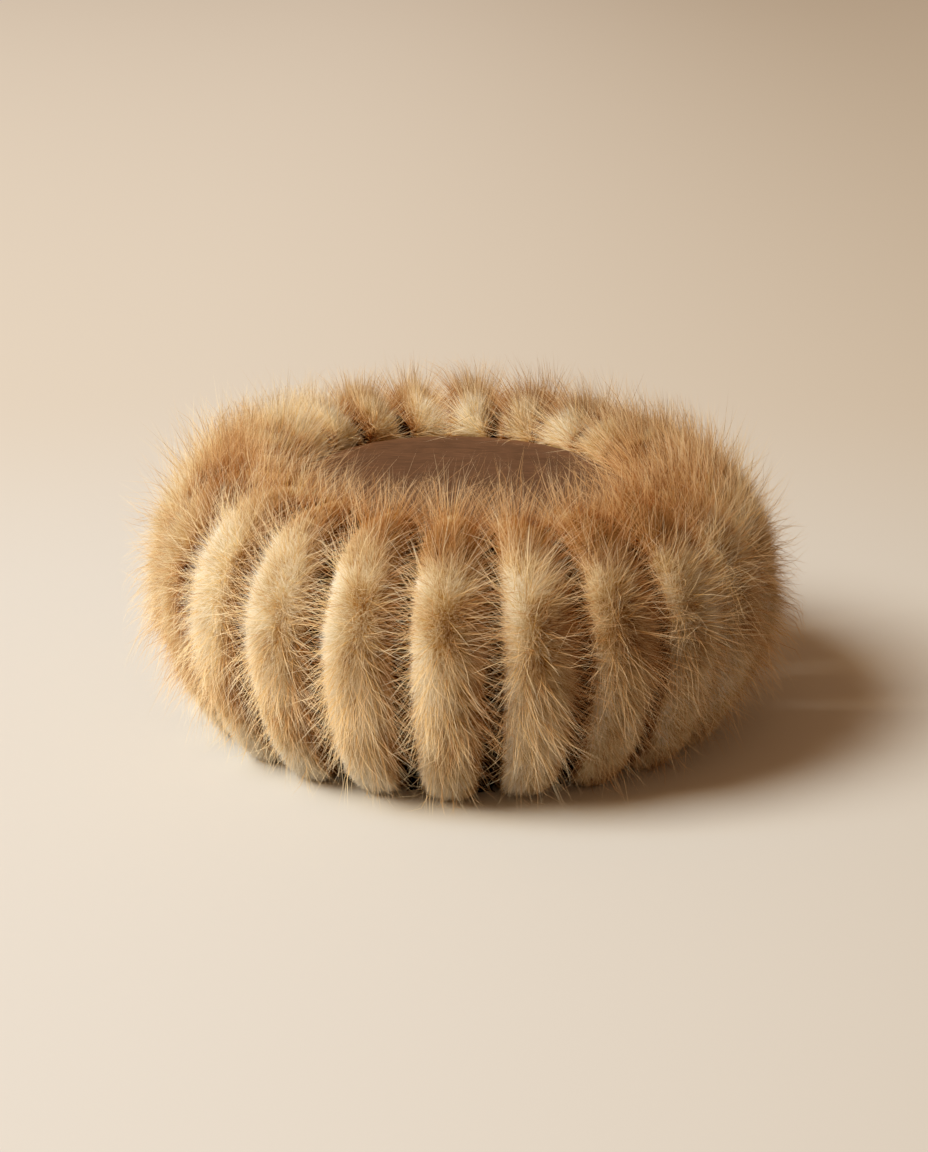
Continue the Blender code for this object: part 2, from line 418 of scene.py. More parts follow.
PLUSH = Habit(
    name="plush", width="plush_width", tones=UNDERFUR_TONES, joints=2, widest_turn=math.radians(64),
    mid_crowd=0.80, fan=0.6, nap=0.22, swing=0.95, lift=1.00, lift_crest=0.10, lift_lock=0.18,
    lift_spread=0.22, flank_lay=0.25, upright=0.5, uneven=0.20, patchy=0.35, flank_cut=0.56, low_cut=0.12,
    left_cut=0.05, crest_front=-0.36, crest_back=0.35, side_on=0.02, gather=0.18, twist=0.35, soften=0.95,
    wrap=0.20, taper=1.5, tone_spread=0.035)
AWN = Habit(
    name="awn", width="awn_width", tones=UNDERFUR_TONES, joints=2, widest_turn=math.radians(46),
    mid_crowd=1.15, crowd=0.35, fan=0.8, nap=0.45, swing=0.75, lift=0.92, lift_crest=0.20, lift_lock=0.24,
    lift_spread=0.24, flank_lay=0.40, droop=0.02, uneven=0.35, patchy=0.75, flank_cut=0.86, low_cut=0.48,
    left_cut=0.50, crest_front=-0.52, crest_back=0.35, side_on=0.08, gather=0.42, twist=0.6, soften=0.92,
    wrap=0.30, taper=1.8, tone_spread=0.06)
GUARD = Habit(
    name="guard", width="guard_width", tones=GUARD_TONES, joints=3, widest_turn=math.radians(64),
    mid_crowd=1.0, crowd=2.0, front_crowd=-0.15, bare_foot=0.85, fan=1.2, nap=0.45, lock_swing=0.6,
    swing=0.55, lift=0.84, lift_crest=0.30, lift_lock=0.22, lift_spread=0.26, bend=0.22, curl=0.30,
    droop=0.05, front_stand=1.10, uneven=0.40, patchy=0.55, flank_cut=0.10, low_cut=0.30, left_cut=0.30,
    crest_front=0.60, crest_back=0.05, side_on=0.05, gather=0.30, twist=1.2, soften=0.80, wrap=1.30,
    taper=2.2, tone_spread=0.16, root_rise=0.15)
SWEEP = Habit(
    name="sweep", width="guard_width", tones=GUARD_TONES, joints=3, widest_turn=math.radians(66),
    mid_crowd=0.9, bare_foot=0.95, fan=1.5, nap=0.40, lock_swing=0.5, swing=0.50, lift=0.42, lift_crest=0.36,
    lift_lock=0.16, lift_spread=0.16, bend=0.20, curl=0.34, droop=0.06, uneven=0.40, patchy=0.20,
    flank_cut=0.05, low_cut=0.30, left_cut=0.50, crest_front=-0.10, crest_back=-0.10, side_on=0.10,
    gather=0.15, twist=1.0, soften=0.80, wrap=0.90, taper=2.2, tone_spread=0.14, root_rise=0.14)


def nearest_locks(up_place, over_place, size, seed):
    """The offset from each hair to the middle of its lock, and three random numbers of that lock."""
    place = np.stack((up_place, over_place), -1)
    cells = np.floor(place / size)
    best = np.full(up_place.shape, np.inf)
    offset = np.zeros_like(place)
    chosen = np.zeros_like(cells)
    for step in np.ndindex(3, 3):
        cell = cells + np.array(step) - 1
        jitter = np.stack((scatter(cell, seed), scatter(cell, seed + 1)), -1)
        gap = (cell + jitter) * size - place
        distance = np.linalg.norm(gap, axis=-1)
        closer = distance < best
        best = np.where(closer, distance, best)
        offset = np.where(closer[:, None], gap, offset)
        chosen = np.where(closer[:, None], cell, chosen)
    return offset, np.stack([scatter(chosen, seed + 2 + extra) for extra in range(3)], -1)


def root_places(roll, count, habit, rng):
    """Random places on a roll, as (share of its length, turn across its back)."""
    grid = np.linspace(0, 1, 200)
    radius = np.interp(grid * CREST_LENGTH, CREST_ALONG, CREST_LINE[:, 0])
    weight = radius * np.interp(grid, (0, 0.06, 0.14, 0.86, 0.92, 1), (0.05, 0.4, 1, 1, 0.6, 0.5))
    crowd = habit.crowd * smooth_step(roll.outward[1], -0.8, 0.3)
    weight *= 1 + crowd * smooth_step(grid, 0.55, 0.78) + habit.front_crowd * smooth_step(grid, 0.66, 0.80)
    weight *= 1 - habit.bare_foot * smooth_step(grid, 0.42, 0.14)
    total = np.cumsum(weight)
    share = np.interp(rng.random(count), total / total[-1], grid)
    turn = rng.uniform(-1, 1, count)
    turn = np.sign(turn) * np.abs(turn) ** habit.mid_crowd * habit.widest_turn
    return share, turn


def behind_middle(point):
    """0 for places in front of the hat's middle, 1 for places behind it."""
    return smooth_step(point[:, 1], -0.02, 0.06)


class Spots:
    """Places on a roll where hairs stand, and from 0 to 1 how far each is in the parts where hair changes."""

    def __init__(self, roll, share, turn, lock_size):
        self.roll = roll
        self.share = share
        self.turn = turn
        self.point, self.normal, self.up, self.over = roll.frame_at(share, turn)
        self.up_place = (share - roll.parting) * CREST_LENGTH
        self.over_place = turn * BACK_PER_TURN
        self.lock_offset, self.lock_random = nearest_locks(
            self.up_place, self.over_place, lock_size, 20 + 10 * roll.index)
        self.whorl = 1 - smooth_step(np.hypot(0.5 * self.up_place, 2.0 * self.over_place), 0.001, 0.011)
        self.flank = smooth_step(np.abs(turn), 0.5, 1.35)
        self.crest = smooth_step(share, 0.70, 0.84) * (1 - 0.5 * smooth_step(share, 0.92, 1.0))
        self.behind = behind_middle(self.point)
        self.low_end = smooth_step(share, 0.25, 0.05)
        self.lower = smooth_step(share, 0.44, 0.16)
        self.side_on = smooth_step(np.abs(self.point[:, 0]), 0.080, 0.130)

    def raised(self, heading, nap, lift):
        """Directions that lie along the skin at a heading from up the roll, combed aside, and lift off it."""
        flat = unit(np.cos(heading)[:, None] * self.up + (np.sin(heading) + nap)[:, None] * self.over)
        return np.cos(lift)[:, None] * flat + np.sin(lift)[:, None] * self.normal


def hair_directions(spots, habit, rng):
    """The direction of each hair at its root, and at its tip."""
    count = len(spots.share)
    unrest = habit.swing + 0.9 * spots.whorl + 0.3 * spots.low_end + 0.25 * spots.lower + 0.15 * spots.flank
    swing = (spots.lock_random[:, 0] - 0.5) * habit.lock_swing + rng.normal(0, 1, count) * unrest
    up_pull = spots.up_place * smooth_step(np.abs(spots.up_place), 0.0, 0.026)
    heading = np.arctan2(habit.fan * spots.over_place, up_pull) + swing
    lift = habit.lift + habit.lift_crest * spots.crest + habit.lift_lock * (spots.lock_random[:, 1] - 0.5)
    lift = lift + rng.normal(0, habit.lift_spread, count) + 0.25 * spots.whorl + 0.15 * spots.low_end
    lift = lift - habit.flank_lay * spots.flank * (1 - spots.crest)
    curl = heading + rng.normal(0, habit.curl, count)
    root = spots.raised(heading, habit.nap, np.clip(lift + habit.bend, 0.15, 1.5))
    tip = spots.raised(curl, habit.nap, np.clip(lift - habit.bend, -0.1, 1.5))
    tip[:, 2] -= habit.droop
    stand = habit.upright * (habit.front_stand * (1 - spots.behind) + spots.behind)
    stand = stand * smooth_step(spots.share, 0.72, 0.84)
    lean = 1.1 * spots.roll.chance(7, 3) + 1.4 * (cloud(spots.point, 0.020, 15) - 0.5)
    lean *= 0.9 * (0.3 + 0.7 * spots.behind) * smooth_step(spots.share, 0.70, 0.90)
    tuft = stand[:, None] * UPWARD + lean[:, None] * spots.over
    return root + 0.5 * tuft, tip + tuft


def hair_lengths(spots, habit, length, rng):
    """Lengths of the hairs: shorter in the grooves and at both ends of a roll, and uneven in patches."""
    share = spots.share
    inner = smooth_step(share, 0.84, 0.92)
    low_crest = smooth_step(share, 0.80, 0.88) - 0.8 * smooth_step(share, 0.90, 0.96)
    on_crest = habit.crest_front * (1 - spots.behind) + habit.crest_back * spots.behind
    patchy = habit.patchy + 0.45 * spots.behind * spots.crest
    lengths = length * rng.uniform(1 - habit.uneven, 1 + habit.uneven, len(share))
    lengths *= (1 - 0.15 * spots.whorl) * (1 + 0.18 * (spots.lock_random[:, 2] - 0.5))
    lengths *= 1 - habit.flank_cut * spots.flank * (1 - 0.6 * inner)
    lengths *= (1 + on_crest * spots.crest) * (1 + habit.side_on * spots.side_on)
    lengths *= 1 - (0.60 - 0.45 * spots.behind) * low_crest
    lengths *= (1 - 0.42 * smooth_step(share, 0.20, 0.06)) * (1 - 0.5 * spots.flank * spots.low_end)
    lengths *= (1 - habit.low_cut * spots.lower) * (1 - 0.5 * spots.lower * spots.flank)
    lengths *= 1 - habit.left_cut * smooth_step(-spots.turn, 0.30, 0.90)
    return lengths * (1 + patchy * (cloud(spots.point, 0.015, 12) - 0.5))


def pile_under(share, turn, depth):
    """How far under the thick of the fur the felted underwool lies. The grooves and the low ends are open."""
    flank = smooth_step(np.abs(turn), 0.85, 1.40)
    crest = smooth_step(share, 0.70, 0.84)
    low_end = smooth_step(share, 0.26, 0.06)
    inner_end = smooth_step(share, 0.84, 0.92)
    return depth * (1 + flank * (2.6 - 1.7 * crest - 0.2 * inner_end + 1.0 * low_end))


def hair_tone(roll, share, turn, point, lock=0.5):
    """Tone from 0 (cream) to 1 (russet) of the fur at each place, where lock is a lock's random number.
    Painted shade darkens the grooves, each roll's right flank and the hat's right side, and painted light
    makes each roll's left flank paler.
    """
    right = point[:, 0] / FUR_RADIUS
    behind = behind_middle(point)
    high = smooth_step(share, 0.66, 0.76) - smooth_step(share, 0.82, 0.90)
    low = smooth_step(share, 0.34, 0.10)
    inner = smooth_step(share, 0.84, 0.93)
    # painted shade: the grooves between rolls are darker
    groove_shade = smooth_step(np.abs(turn), 0.62, 0.95)
    sunny_end = smooth_step(-right, 0.60, 0.95)
    shady_end = smooth_step(right, 0.42, 0.80)
    left_band = smooth_step(share, 0.18, 0.27) - smooth_step(share, 0.33, 0.42)
    left_band = left_band * smooth_step(-right, 0.30, 0.50)
    back_cream = 1 - 0.85 * smooth_step(np.abs(point[:, 0] - 0.012), 0.030, 0.062)
    tone = 0.30 - 0.12 * behind + (0.52 - 0.30 * shady_end) * (1 - 0.45 * behind) * high
    # the lower ends are paler; painted shade darkens them in the grooves and a little towards the hat's right
    tone += (0.45 * groove_shade - (1 - groove_shade) * np.clip(0.20 - 0.50 * right, -0.08, 0.40)) * low
    tone += (0.40 - 0.40 * behind - 0.14 * behind * back_cream) * inner
    # painted shade: each roll's right flank, away from the key light, is darker, and so are its grooves
    tone += 0.50 * smooth_step(turn, 0.22, 0.86) + 0.70 * smooth_step(np.abs(turn), 0.80, 1.06)
    # painted shade: the groove on each roll's left is darker still
    tone += 0.25 * smooth_step(-turn, 0.90, 1.10)
    # painted light: each roll's left flank, towards the key light, is paler below the crest
    tone -= 0.28 * smooth_step(-turn, 0.15, 0.70) * smooth_step(share, 0.76, 0.64)
    # painted shade: the fur is darker towards the hat's right, away from the key light; the two ends and the
    # left band are tone
    tone += 0.40 * np.clip(right, -0.5, 0.5) - 0.17 * shady_end + 0.18 * sunny_end + 0.26 * left_band
    tone += 0.52 * (cloud(point, 0.022, 5) - 0.5) + 0.27 * (cloud(point, 0.007, 6) - 0.5)
    return np.clip(tone + 0.14 * roll.chance(3, 9) + 0.12 * (lock - 0.5), 0, 1)


def hair_curves(spots, habit, ways, lengths, depth, joint_shares):
    """Points along each hair, gathered into locks and kept clear of the hat."""
    root_way, tip_way = ways
    under = pile_under(spots.share, spots.turn, depth) + ROOT_DEPTH
    curve = [spots.point - spots.normal * under[:, None]]
    for low, high in zip(joint_shares, joint_shares[1:]):
        middle = (low + high) / 2
        way = unit(root_way * (1 - middle) + tip_way * middle)
        curve.append(curve[-1] + way * (lengths * (high - low))[:, None])
    curve = np.stack(curve, 1)
    pull = spots.lock_offset[:, :1] * spots.up + spots.lock_offset[:, 1:] * spots.over
    pull = pull * (habit.gather * (1 + 0.4 * spots.flank))[:, None]
    return clear_of_hat(slump(curve + pull[:, None] * (joint_shares**1.4)[None, :, None]))


def hair_faces(spots, habit, curve, rng):
    """Directions across each ribbon, turned to face outwards, and its soft normals."""
    along = unit(np.gradient(curve, axis=1))
    flat = unit(np.cross(along, spots.normal[:, None]) + 1e-4 * spots.over[:, None])
    twist = rng.normal(0, habit.twist, len(curve))[:, None, None]
    side = np.cos(twist) * flat + np.sin(twist) * unit(np.cross(flat, along))
    facing = unit(np.cross(side, along))
    wrap = habit.wrap + 0.8 * spots.behind * smooth_step(spots.share, 0.76, 0.92)
    outward = unit(spots.normal + wrap[:, None] * UPWARD)[:, None]
    faces_in = (facing * outward).sum(-1, keepdims=True).mean(1, keepdims=True) < 0
    sign = np.where(faces_in, -1.0, 1.0)
    return side * sign, unit(habit.soften * outward + (1 - habit.soften) * facing * sign)


def grow(roll, habit, rng, settings):
    """One kind of hair on a roll, as ribbons: (vertices, triangles, normals, UV places)."""
    count = getattr(settings, f"{habit.name}_count")
    share, turn = root_places(roll, count, habit, rng)
    spots = Spots(roll, share, turn, settings.lock_size)
    ways = hair_directions(spots, habit, rng)
    lengths = hair_lengths(spots, habit, getattr(settings, f"{habit.name}_length"), rng)
    joint_shares = np.linspace(0, 1, habit.joints)
    curve = hair_curves(spots, habit, ways, lengths, settings.pile_depth, joint_shares)
    side, normals = hair_faces(spots, habit, curve, rng)
    taper = (1 - joint_shares**habit.taper) * 0.9 + 0.1
    width = getattr(settings, habit.width) * rng.uniform(0.7, 1.3, count)[:, None] * taper
    tone = hair_tone(roll, share, turn, spots.point, spots.lock_random[:, 2])
    tone = np.clip(tone + rng.normal(0, habit.tone_spread, count), 0, 1)
    column = habit.tones[0] + tone * (habit.tones[1] - habit.tones[0])
    return ribbon_arrays(curve, side * width[..., None] / 2, normals, column, habit.root_rise)


def ribbon_arrays(curve, side, normals, column, root_rise):
    """Vertices, triangles, vertex normals and UV places of a set of ribbons that end in points."""
    count, joints = curve.shape[:2]
    pairs = np.stack((curve - side, curve + side), 2)[:, :-1].reshape(count, -1, 3)
    vertices = np.concatenate((pairs, curve[:, -1:]), 1)
    normals = np.concatenate((np.repeat(normals[:, :-1], 2, axis=1), normals[:, -1:]), 1)
    half = STRAND_TONE_WIDTH / 2
    rises = np.linspace(root_rise, TIP_RISE, joints)
    corners = [(shift, rise) for rise in rises[:-1] for shift in (-half, half)] + [(0.0, TIP_RISE)]
    places = np.repeat(np.array(corners)[None], count, 0)
    places[..., 0] += column[:, None]
    faces = []
    for low in range(0, 2 * (joints - 2), 2):
        faces += [(low, low + 1, low + 3), (low, low + 3, low + 2)]
    last = 2 * (joints - 2)
    faces.append((last, last + 1, last + 2))
    triangles = np.array(faces)[None] + np.arange(count)[:, None, None] * vertices.shape[1]
    return vertices.reshape(-1, 3), triangles.reshape(-1, 3), normals.reshape(-1, 3), places.reshape(-1, 2)


def underwool_arrays(roll, depth):
    """The felted underwool that a roll's hair stands on, as a closed form inside the pile, darkened by
    painted shade.
    """
    shares = np.linspace(0, 1, 62)
    turns = np.radians(np.linspace(-88, 88, 25))
    share, turn = np.meshgrid(shares, turns, indexing="ij")
    point, normal = roll.frame_at(share, turn)[:2]
    flat_points = point.reshape(-1, 3)
    lumps = (cloud(flat_points, 0.0034, 31) - 0.5).reshape(share.shape)
    tone = hair_tone(roll, share.ravel(), turn.ravel(), flat_points).reshape(share.shape)
    under = pile_under(share, turn, depth) - LUMP_DEPTH * lumps
    point = clear_of_hat(slump(point - normal * under[..., None]))
    height = BAND_FOOT_HEIGHT + shares * (SEWN_END_HEIGHT - BAND_FOOT_HEIGHT)
    inner = slump(roll.outward * (band_radius(height) + 2 * GAP)[:, None] + UPWARD * height[:, None])
    half = np.linalg.norm(inner[:, :2], axis=1) * math.tan(math.pi / ROLL_COUNT) - GAP
    across = roll.sideways * half[:, None]
    rows = np.concatenate(((inner - across)[:, None], point, (inner + across)[:, None]), 1)
    sides = np.tile(roll.sideways, (len(shares), 1))[:, None]
    normals = np.concatenate((-sides, unit(normal + PLUSH.wrap * UPWARD), sides), 1)
    width = rows.shape[1]
    faces = []
    for row in range(len(shares) - 1):
        for column in range(width):
            a = row * width + column
            b = row * width + (column + 1) % width
            faces += [(a, b, b + width), (a, b + width, a + width)]
    last = (len(shares) - 1) * width
    for column in range(1, width - 1):
        faces += [(0, column + 1, column), (last, last + column, last + column + 1)]
    columns = UNDERFUR_TONES[0] + (UNDERFUR_TONES[1] - UNDERFUR_TONES[0]) * tone
    # painted shade: the underwool turns to the near-black skin towards the grooves and at its sides
    columns += (SHADED_SKIN_TONE - columns) * smooth_step(np.abs(turn), 0.85, 1.15)
    edge = np.full((len(shares), 1), SHADED_SKIN_TONE)
    columns = np.concatenate((edge, columns, edge), 1)
    places = np.stack((columns, np.full_like(columns, UNDERWOOL_RISE)), -1)
    return rows.reshape(-1, 3), np.array(faces), unit(normals).reshape(-1, 3), places.reshape(-1, 2)


def mesh_from_arrays(name, parts):
    """A mesh from several (vertices, triangles, normals, UV places)."""
    starts = np.cumsum([0] + [len(part[0]) for part in parts])
    vertices = np.concatenate([part[0] for part in parts]).astype(np.float32)
    triangles = np.concatenate([part[1] + start for part, start in zip(parts, starts)]).astype(np.int32)
    normals = np.concatenate([part[2] for part in parts])
    places = np.concatenate([part[3] for part in parts]).astype(np.float32)
    mesh = bpy.data.meshes.new(name)
    mesh.vertices.add(len(vertices))
    mesh.vertices.foreach_set("co", vertices.ravel())
    mesh.loops.add(triangles.size)
    mesh.loops.foreach_set("vertex_index", triangles.ravel())
    mesh.polygons.add(len(triangles))
    mesh.polygons.foreach_set("loop_start", np.arange(0, triangles.size, 3, dtype=np.int32))
    mesh.update(calc_edges=True)
    layer = mesh.uv_layers.new(name="OFBake")
    layer.uv.foreach_set("vector", places[triangles.ravel()].ravel())
    mesh.shade_smooth()
    mesh.normals_split_custom_set_from_vertices(normals.tolist())
    return mesh


# Shader helpers

def feed(tree, socket, value):
    """The socket takes a constant, or what another node gives out."""
    if isinstance(value, bpy.types.NodeSocket):
        tree.links.new(value, socket)
    else:
        socket.default_value = value


def add_node(tree, kind, inputs=None, **settings):
    """A node with its settings, whose inputs, by name or number, are constants or outputs of other nodes."""
    node = tree.nodes.new(f"ShaderNode{kind}")
    for key, value in settings.items():
        setattr(node, key, value)
    for key, value in (inputs or {}).items():
        feed(tree, node.inputs[key], value)
    return node


def new_material(name, **constants):
    """A material, its node tree, and its shader with constants for some of the inputs."""
    material = bpy.data.materials.new(name)
    material.use_nodes = True
    shader = material.node_tree.nodes["Principled BSDF"]
    for key, value in constants.items():
        shader.inputs[key.replace("_", " ")].default_value = value
    return material, material.node_tree, shader


def object_place(tree):
    return add_node(tree, "TexCoord").outputs["Object"]


def calculated(tree, operation, *values):
    """What one sum of Blender's Math node gives."""
    return add_node(tree, "Math", dict(enumerate(values)), operation=operation).outputs[0]


def ranged(tree, value, start, end, low=0.0, high=1.0, smooth=True):
    """The value, mapped from between start and end to between low and high."""
    inputs = {"Value": value, "From Min": start, "From Max": end, "To Min": low, "To Max": high}
    kind = "SMOOTHSTEP" if smooth else "LINEAR"
    return add_node(tree, "MapRange", inputs, interpolation_type=kind).outputs["Result"]


def noise(tree, place, scale, detail, roughness):
    inputs = {"Vector": place, "Scale": scale, "Detail": detail, "Roughness": roughness}
    return add_node(tree, "TexNoise", inputs).outputs["Fac"]


def scaled(tree, colour, factor):
    return add_node(tree, "VectorMath", {0: colour, "Scale": factor}, operation="SCALE").outputs[0]


def bumped(tree, height, strength, distance):
    """Normals that follow a height."""
    inputs = {"Height": height, "Strength": strength, "Distance": distance}
    return add_node(tree, "Bump", inputs).outputs["Normal"]


def mixed(tree, share, first, second, kind="RGBA", blend="MIX"):
    inputs = {"Factor": share, "A": first, "B": second}
    return add_node(tree, "Mix", inputs, data_type=kind, blend_type=blend).outputs["Result"]


def mixed_shaders(tree, share, first, second):
    return add_node(tree, "MixShader", {"Fac": share, 1: first, 2: second}).outputs[0]


def colour_ramp(tree, place, stops):
    """Colours along a strip, from (place, colour) stops."""
    ramp = add_node(tree, "ValToRGB", {"Fac": place})
    elements = ramp.color_ramp.elements
    elements.remove(elements[-1])
    for number, (stop, colour) in enumerate(stops):
        element = elements[0] if number == 0 else elements.new(stop)
        element.position = stop
        element.color = (*colour, 1.0)
    return ramp.outputs["Color"]


def soft_mottle_group():
    """Soft patches of a second colour, as on brushed cloth."""
    name = "Soft mottle"
    if name in bpy.data.node_groups:
        return bpy.data.node_groups[name]
    tree = bpy.data.node_groups.new(name, "ShaderNodeTree")
    for label, kind in (("Colour", "NodeSocketColor"), ("Second colour", "NodeSocketColor"),
                        ("Patch scale", "NodeSocketFloat"), ("Amount", "NodeSocketFloat")):
        tree.interface.new_socket(name=label, in_out="INPUT", socket_type=kind)
    tree.interface.new_socket(name="Colour", in_out="OUTPUT", socket_type="NodeSocketColor")
    given = tree.nodes.new("NodeGroupInput").outputs
    patches = noise(tree, object_place(tree), given["Patch scale"], 5.0, 0.62)
    share = calculated(tree, "MULTIPLY", ranged(tree, patches, 0.35, 0.65), given["Amount"])
    result = tree.nodes.new("NodeGroupOutput")
    feed(tree, result.inputs["Colour"], mixed(tree, share, given["Colour"], given["Second colour"]))
    return tree


def mottled(tree, colour, second_colour, patch_scale, amount):
    """The colour with soft patches of the second colour."""
    inputs = {"Colour": (*colour, 1), "Second colour": (*second_colour, 1),
              "Patch scale": patch_scale, "Amount": amount}
    return add_node(tree, "Group", inputs, node_tree=soft_mottle_group()).outputs["Colour"]


# Materials

def deep(colour, density):
    """The colour deep in the fur, where light has passed through many hairs: dimmer and more saturated."""
    return np.array((0.87, 0.775, 0.57))**density * colour ** (1 + density)


def fur_material(settings, name, lets_light_through):
    """Fur whose colour comes from its column and height on the tone strip, with painted shade that makes it
    warm and dark towards the root end.
    """
    material, tree, shader = new_material(name, Roughness=0.62, Specular_IOR_Level=0.0)
    place = add_node(tree, "UVMap", uv_map="OFBake").outputs["UV"]
    split = add_node(tree, "SeparateXYZ", {0: place})
    column = split.outputs["X"]
    names = ("cream", "sand", "amber", "russet", "skin", "pale_guard", "copper_guard")
    cream, sand, amber, russet, skin, pale, copper = (np.array(getattr(settings, name)) for name in names)
    golden = (pale + copper) / 2
    # the near-black skin columns of the strip hold painted shade
    shaded_skin_start = (UNDERFUR_TONES[1] + SHADED_SKIN_TONE) / 2 - 0.005
    shaded_skin_end = (SHADED_SKIN_TONE + GUARD_TONES[0]) / 2 + 0.005
    tips = colour_ramp(tree, column, [
        (0.0, cream), (0.20, sand), (0.40, amber), (UNDERFUR_TONES[1], russet),
        (shaded_skin_start, russet), (shaded_skin_start + TONE_EDGE, skin), (shaded_skin_end, skin), (shaded_skin_end + TONE_EDGE, pale),
        (GUARD_TONES[0], pale), (0.82, golden), (1.0, copper)])
    # painted shade: each hair is darker and warmer towards its root end
    shaded_roots = colour_ramp(tree, column, [
        (0.0, deep(cream, 0.9)), (0.20, deep(sand, 1.3)), (0.40, deep(amber, 1.8)),
        (UNDERFUR_TONES[1], deep(russet, 1.8)), (shaded_skin_start, deep(russet, 1.8)),
        (shaded_skin_start + TONE_EDGE, skin), (shaded_skin_end, skin), (shaded_skin_end + TONE_EDGE, deep(pale, 1.3)),
        (0.82, deep(golden, 1.6)), (1.0, deep(copper, 1.8))])
    colour = mixed(tree, ranged(tree, split.outputs["Y"], 0.18, 0.95), shaded_roots, tips)
    feed(tree, shader.inputs["Base Color"], colour)
    if lets_light_through:
        pass_light(tree, shader, colour, column)
    return material


def pass_light(tree, shader, colour, column):
    """A hair glows when it is lit from behind, and lamps shine through it with a warmer light."""
    glow = add_node(tree, "BsdfTranslucent", {"Color": colour}).outputs[0]
    turned_away = add_node(tree, "NewGeometry").outputs["Backfacing"]
    hair = mixed_shaders(tree, turned_away, shader.outputs[0], glow)
    passed = colour_ramp(tree, column, [
        (0.0, (0.72, 0.61, 0.43)), (0.20, (0.50, 0.35, 0.17)), (0.40, (0.29, 0.14, 0.04)),
        (0.60, (0.09, 0.028, 0.005)), (0.65, (0.80, 0.67, 0.46))])
    through = add_node(tree, "BsdfTransparent", {"Color": passed}).outputs[0]
    for_lamps = add_node(tree, "LightPath").outputs["Is Shadow Ray"]
    output = tree.nodes["Material Output"]
    feed(tree, output.inputs["Surface"], mixed_shaders(tree, for_lamps, hair, through))


def suede_material(settings):
    """Brushed nap in streaks, with soft patches, fine flecks, and a painted highlight that makes it paler
    towards the rim.
    """
    material, tree, shader = new_material(
        "brown_suede", Roughness=0.92, Specular_IOR_Level=0.08, Sheen_Weight=0.05, Sheen_Roughness=0.42,
        Sheen_Tint=(0.95, 0.74, 0.56, 1.0))
    place = object_place(tree)
    streaks = add_node(tree, "Mapping", {"Vector": place, "Scale": (0.22, 1.0, 1.0)}).outputs["Vector"]
    flecks = noise(tree, streaks, 0.3 / settings.nap, 4.0, 0.65)
    flecks = ranged(tree, flecks, 0.30, 0.70, 0.70, 1.30, smooth=False)
    level = add_node(tree, "VectorMath", {0: place, 1: (1.0, 1.0, 0.0)}, operation="MULTIPLY").outputs[0]
    radius = add_node(tree, "VectorMath", {0: level}, operation="LENGTH").outputs["Value"]
    # painted highlight: the suede is paler towards its rounded rim, where the light catches the edge
    highlit_rim = ranged(tree, radius, HIGHLIT_RIM_START, HIGHLIT_RIM_END, 1.0, 1.22)
    colour = mottled(tree, settings.colour, settings.shade, 55.0, 0.55)
    strength = calculated(tree, "MULTIPLY", flecks, highlit_rim)
    feed(tree, shader.inputs["Base Color"], scaled(tree, colour, strength))
    grain = noise(tree, streaks, 1 / settings.nap, 3.0, 0.6)
    feed(tree, shader.inputs["Normal"], bumped(tree, grain, 0.6, 0.0003))
    return material


def band_material(settings):
    """Plain weave: threads round the band pass over and under the threads that run up it."""
    material, tree, shader = new_material("brown_cloth", Roughness=0.88, Specular_IOR_Level=0.2)
    split = add_node(tree, "SeparateXYZ", {0: object_place(tree)})
    turn = calculated(tree, "ARCTAN2", split.outputs["Y"], split.outputs["X"])
    waves = [calculated(tree, "SINE", calculated(tree, "MULTIPLY", place, scale))
             for place, scale in ((turn, HEAD_RADIUS * math.pi / settings.thread),
                                  (split.outputs["Z"], math.pi / settings.thread))]
    upright, across = (calculated(tree, "ABSOLUTE", wave) for wave in waves)
    on_top = ranged(tree, calculated(tree, "MULTIPLY", *waves), -0.15, 0.15, smooth=False)
    weave = mixed(tree, on_top, across, upright, kind="FLOAT")
    shade = ranged(tree, weave, 0.0, 1.0, 0.55, 1.15, smooth=False)
    colour = np.array(settings.colour)
    cloth = mottled(tree, colour, colour * 0.7, 120.0, 0.5)
    feed(tree, shader.inputs["Base Color"], scaled(tree, cloth, shade))
    feed(tree, shader.inputs["Normal"], bumped(tree, weave, 0.8, 0.00025))
    return material


def thread_material(settings):
    """Twisted sewing thread, a little lighter than the cloth."""
    material, tree, shader = new_material("sewing_thread", Roughness=0.7)
    colour = np.array(settings.colour) * 1.7
    feed(tree, shader.inputs["Base Color"], mottled(tree, colour, colour * 0.75, 900.0, 0.6))
    inputs = {"Vector": object_place(tree), "Scale": 900.0, "Distortion": 1.0}
    twist = add_node(tree, "TexWave", inputs, bands_direction="DIAGONAL").outputs["Fac"]
    feed(tree, shader.inputs["Normal"], bumped(tree, twist, 0.7, 0.0001))
    return material


def floor_material(settings):
    """Paper that turns into the backdrop behind the hat, is darkened to the right by painted shade, and is
    clear from below.
    """
    material, tree, shader = new_material("studio_paper", Roughness=0.9, Specular_IOR_Level=0.1)
    split = add_node(tree, "SeparateXYZ", {0: object_place(tree)})
    back = ranged(tree, split.outputs["Y"], 0.12, 0.55)
    right = ranged(tree, split.outputs["X"], -0.25, 0.60)
    paper = mixed(tree, back, (*settings.floor, 1), (*settings.backdrop, 1))
    # painted shade: the paper darkens to the right, away from the key light
    shaded_to_right = mixed(tree, right, paper, (0.80, 0.76, 0.70, 1), blend="MULTIPLY")
    feed(tree, shader.inputs["Base Color"], shaded_to_right)
    from_below = add_node(tree, "NewGeometry").outputs["Backfacing"]
    clear = add_node(tree, "BsdfTransparent").outputs[0]
    output = tree.nodes["Material Output"]
    feed(tree, output.inputs["Surface"], mixed_shaders(tree, from_below, shader.outputs[0], clear))
    return material


# Cloth pieces

